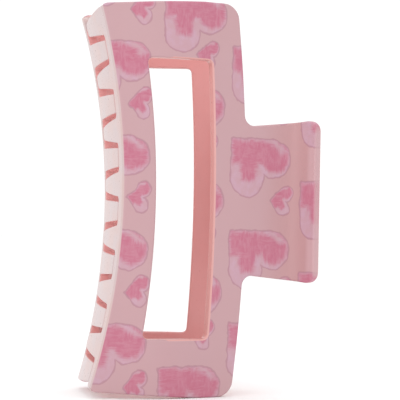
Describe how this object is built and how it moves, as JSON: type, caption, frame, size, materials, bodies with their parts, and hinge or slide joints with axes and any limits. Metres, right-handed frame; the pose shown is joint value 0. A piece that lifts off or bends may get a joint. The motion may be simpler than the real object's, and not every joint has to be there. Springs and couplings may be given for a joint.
{
  "type": "claw clip",
  "caption": "Large rectangular claw hair clip: two bowed window-frame jaws with interleaved teeth and thumb tabs, sprung about a steel hinge pin.",
  "frame": {"origin": "centre of the bounding box, at the lower end that the clip stands on", "axes": "+Z along the hinge, +X from the teeth to the thumb tabs, the front jaw's printed face looks to -Y"},
  "size_m": [0.0639, 0.032, 0.1076],
  "materials": {
    "jaw_plastic": "satin pale pink coat with a rose heart print, unprinted salmon pink edges and inside",
    "pin_steel": "bright drawn wire with formed ends",
    "spring_steel": "drawn spring wire"
  },
  "bodies": {
    "front": {"front_jaw": "jaw_plastic", "hinge_pin": "pin_steel", "torsion_spring": "spring_steel"},
    "rear": {"rear_jaw": "jaw_plastic"}
  },
  "joints": [
    {"name": "jaw_hinge", "type": "hinge", "parent": "front", "child": "rear", "pos_m": [0.0205, 0, 0.0538], "axis": [0, 0, -1], "range_deg": [0, 60], "stiffness_Nm_per_rad": 0.11, "springref_deg": -68.75, "deforming": ["torsion_spring"]}
  ]
}
